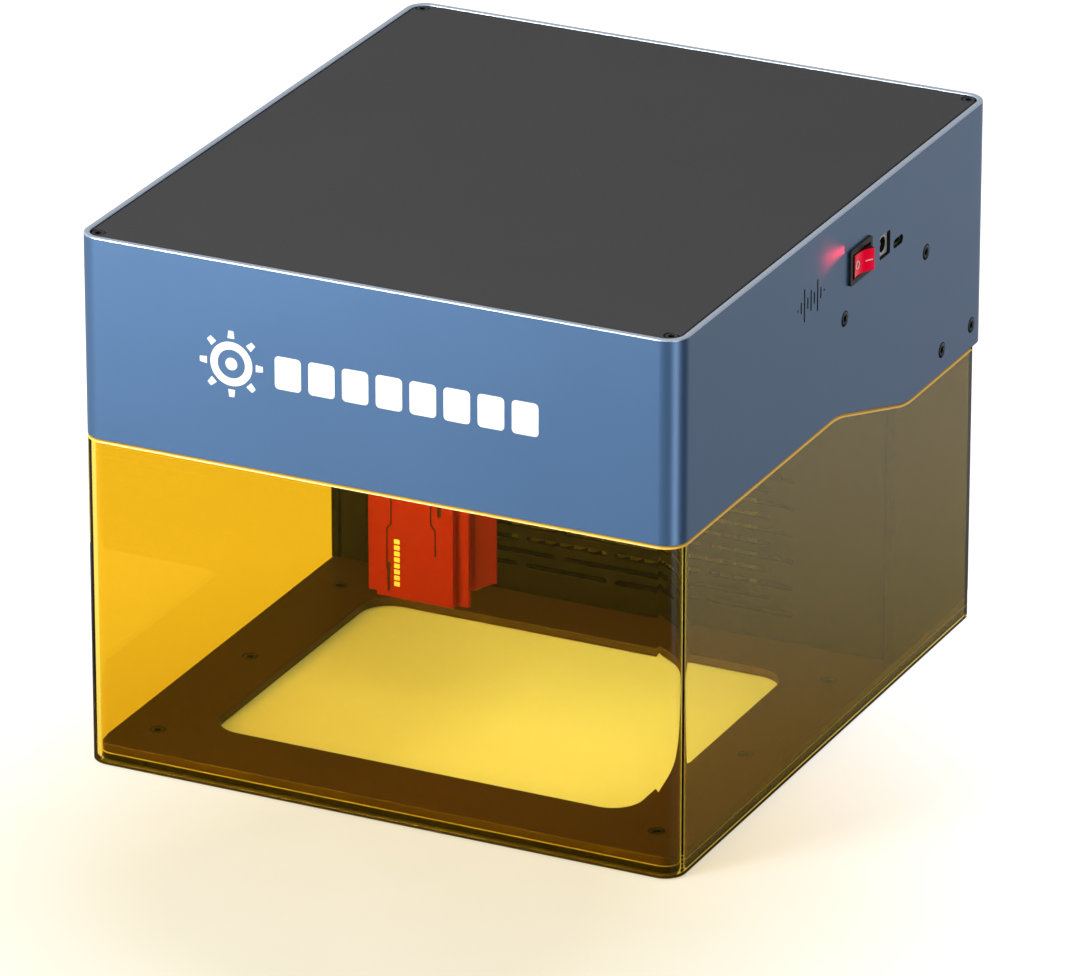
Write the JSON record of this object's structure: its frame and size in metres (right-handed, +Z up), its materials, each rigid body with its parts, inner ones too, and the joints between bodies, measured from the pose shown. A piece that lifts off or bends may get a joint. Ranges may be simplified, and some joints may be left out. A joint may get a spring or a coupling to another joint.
{
  "type": "laser engraver",
  "caption": "Enclosed desktop laser engraver: blue box shell with a belt-driven laser gantry, slide-off amber shield, framed bed and vented rear housing.",
  "frame": {"origin": "on the surface the machine stands on, under the centre of the blue shell", "axes": "+X to the operator's right, +Y to the rear, +Z up"},
  "size_m": [0.2649, 0.297, 0.226],
  "materials": {
    "blue_shell": "satin blue anodised, fine bead-blasted grain",
    "top_cover": "matt dark grey powder coat",
    "screw_steel": "black oxide",
    "black_frame": "satin black powder coat",
    "pale_bed": "pale satin finish",
    "rubber": "matt black",
    "amber_acrylic": "clear polished amber laser-safety acrylic",
    "switch_housing": "moulded black",
    "red_rocker": "translucent red, lit from inside",
    "socket_metal": "plated",
    "circuit_board": "green solder mask",
    "black_bracket": "black anodised",
    "bright_steel": "ground and polished",
    "motor_body": "black with steel end caps",
    "red_heatsink": "red anodised extrusion",
    "black_plastic": "moulded black",
    "brass": "turned brass",
    "lens_glass": "coated optical glass",
    "filter_felt": "pleated felt in a card frame"
  },
  "bodies": {
    "chassis": {"upper_shell": "blue_shell", "top_cover": "top_cover", "cover_screw_front_left": "screw_steel", "cover_screw_rear_left": "screw_steel", "cover_screw_front_right": "screw_steel", "cover_screw_rear_right": "screw_steel", "rail_screw_front_left": "screw_steel", "rail_screw_front_right": "screw_steel", "rail_screw_rear_left": "screw_steel", "rail_screw_rear_right": "screw_steel", "housing_screw_front_left": "screw_steel", "housing_screw_front_right": "screw_steel", "housing_screw_rear_left": "screw_steel", "housing_screw_rear_right": "screw_steel", "bed_plate": "pale_bed", "base_frame": "black_frame", "base_screw_front_left": "screw_steel", "base_screw_middle_left": "screw_steel", "base_screw_rear_left": "screw_steel", "base_screw_front_right": "screw_steel", "base_screw_middle_right": "screw_steel", "base_screw_rear_right": "screw_steel", "foot_strip_front": "rubber", "foot_strip_rear": "rubber", "switch_body": "switch_housing", "dc_jack": "socket_metal", "usb_port": "socket_metal", "control_board": "circuit_board", "left_rail_bracket": "black_bracket", "right_rail_bracket": "black_bracket", "left_guide_rod": "bright_steel", "right_guide_rod": "bright_steel", "y_motor": "motor_body", "y_belt": "rubber", "rear_housing": "black_frame", "rear_panel": "black_frame", "exhaust_grille": "black_frame", "filter_cartridge": "filter_felt", "exhaust_fan_frame": "black_plastic"},
    "shield": {"amber_shield": "amber_acrylic"},
    "rocker": {"switch_rocker": "red_rocker"},
    "gantry": {"left_y_carriage": "black_bracket", "right_y_carriage": "black_bracket", "front_cross_rod": "bright_steel", "rear_cross_rod": "bright_steel", "x_motor": "motor_body", "x_belt": "rubber"},
    "y_drive": {"y_drive_pulley": "bright_steel"},
    "y_idler": {"y_idler_pulley": "bright_steel"},
    "x_drive": {"x_drive_pulley": "bright_steel"},
    "x_idler": {"x_idler_pulley": "bright_steel"},
    "laser_carriage": {"x_carriage": "black_bracket", "laser_heatsink": "red_heatsink", "laser_front_plate": "red_heatsink", "laser_diode_barrel": "brass", "laser_nozzle": "black_plastic", "laser_lens": "lens_glass", "laser_fan_frame": "black_plastic"},
    "laser_fan": {"laser_fan_rotor": "black_plastic"},
    "exhaust_fan": {"exhaust_fan_rotor": "black_plastic"}
  },
  "joints": [
    {"name": "shield_pull", "type": "slide", "parent": "chassis", "child": "shield", "axis": [0, -1, 0], "range_m": [0, 0.29]},
    {"name": "rocker_tilt", "type": "hinge", "parent": "chassis", "child": "rocker", "pos_m": [0.1269, 0.0193, 0.2001], "axis": [0, 0, 1], "range_deg": [0, 28]},
    {"name": "gantry_travel", "type": "slide", "parent": "chassis", "child": "gantry", "axis": [0, 1, 0], "range_m": [-0.05, 0.07]},
    {"name": "laser_travel", "type": "slide", "parent": "gantry", "child": "laser_carriage", "axis": [1, 0, 0], "range_m": [-0.036, 0.084]},
    {"name": "y_drive_turn", "type": "hinge", "parent": "chassis", "child": "y_drive", "pos_m": [-0.096, 0.112, 0.18], "axis": [1, 0, 0], "range_deg": [-455, 635]},
    {"name": "y_idler_turn", "type": "hinge", "parent": "chassis", "child": "y_idler", "pos_m": [-0.096, -0.122, 0.18], "axis": [1, 0, 0], "range_deg": [-455, 635]},
    {"name": "x_drive_turn", "type": "hinge", "parent": "gantry", "child": "x_drive", "pos_m": [0.084, -0.018, 0.173], "axis": [0, 1, 0], "range_deg": [-760, 328]},
    {"name": "x_idler_turn", "type": "hinge", "parent": "gantry", "child": "x_idler", "pos_m": [-0.084, -0.018, 0.173], "axis": [0, 1, 0], "range_deg": [-760, 328]},
    {"name": "laser_fan_spin", "type": "hinge", "parent": "laser_carriage", "child": "laser_fan", "pos_m": [-0.02375, -0.0506, 0.156], "axis": [0, 0, 1], "continuous": true},
    {"name": "exhaust_fan_spin", "type": "hinge", "parent": "chassis", "child": "exhaust_fan", "pos_m": [0, 0.132, 0.075], "axis": [0, 1, 0], "continuous": true}
  ],
  "couplings": [
    {"joint": "y_drive_turn", "follows": "gantry_travel", "rad_per_m": 157.08},
    {"joint": "y_idler_turn", "follows": "gantry_travel", "rad_per_m": 157.08},
    {"joint": "x_drive_turn", "follows": "laser_travel", "rad_per_m": -157.08},
    {"joint": "x_idler_turn", "follows": "laser_travel", "rad_per_m": -157.08}
  ]
}
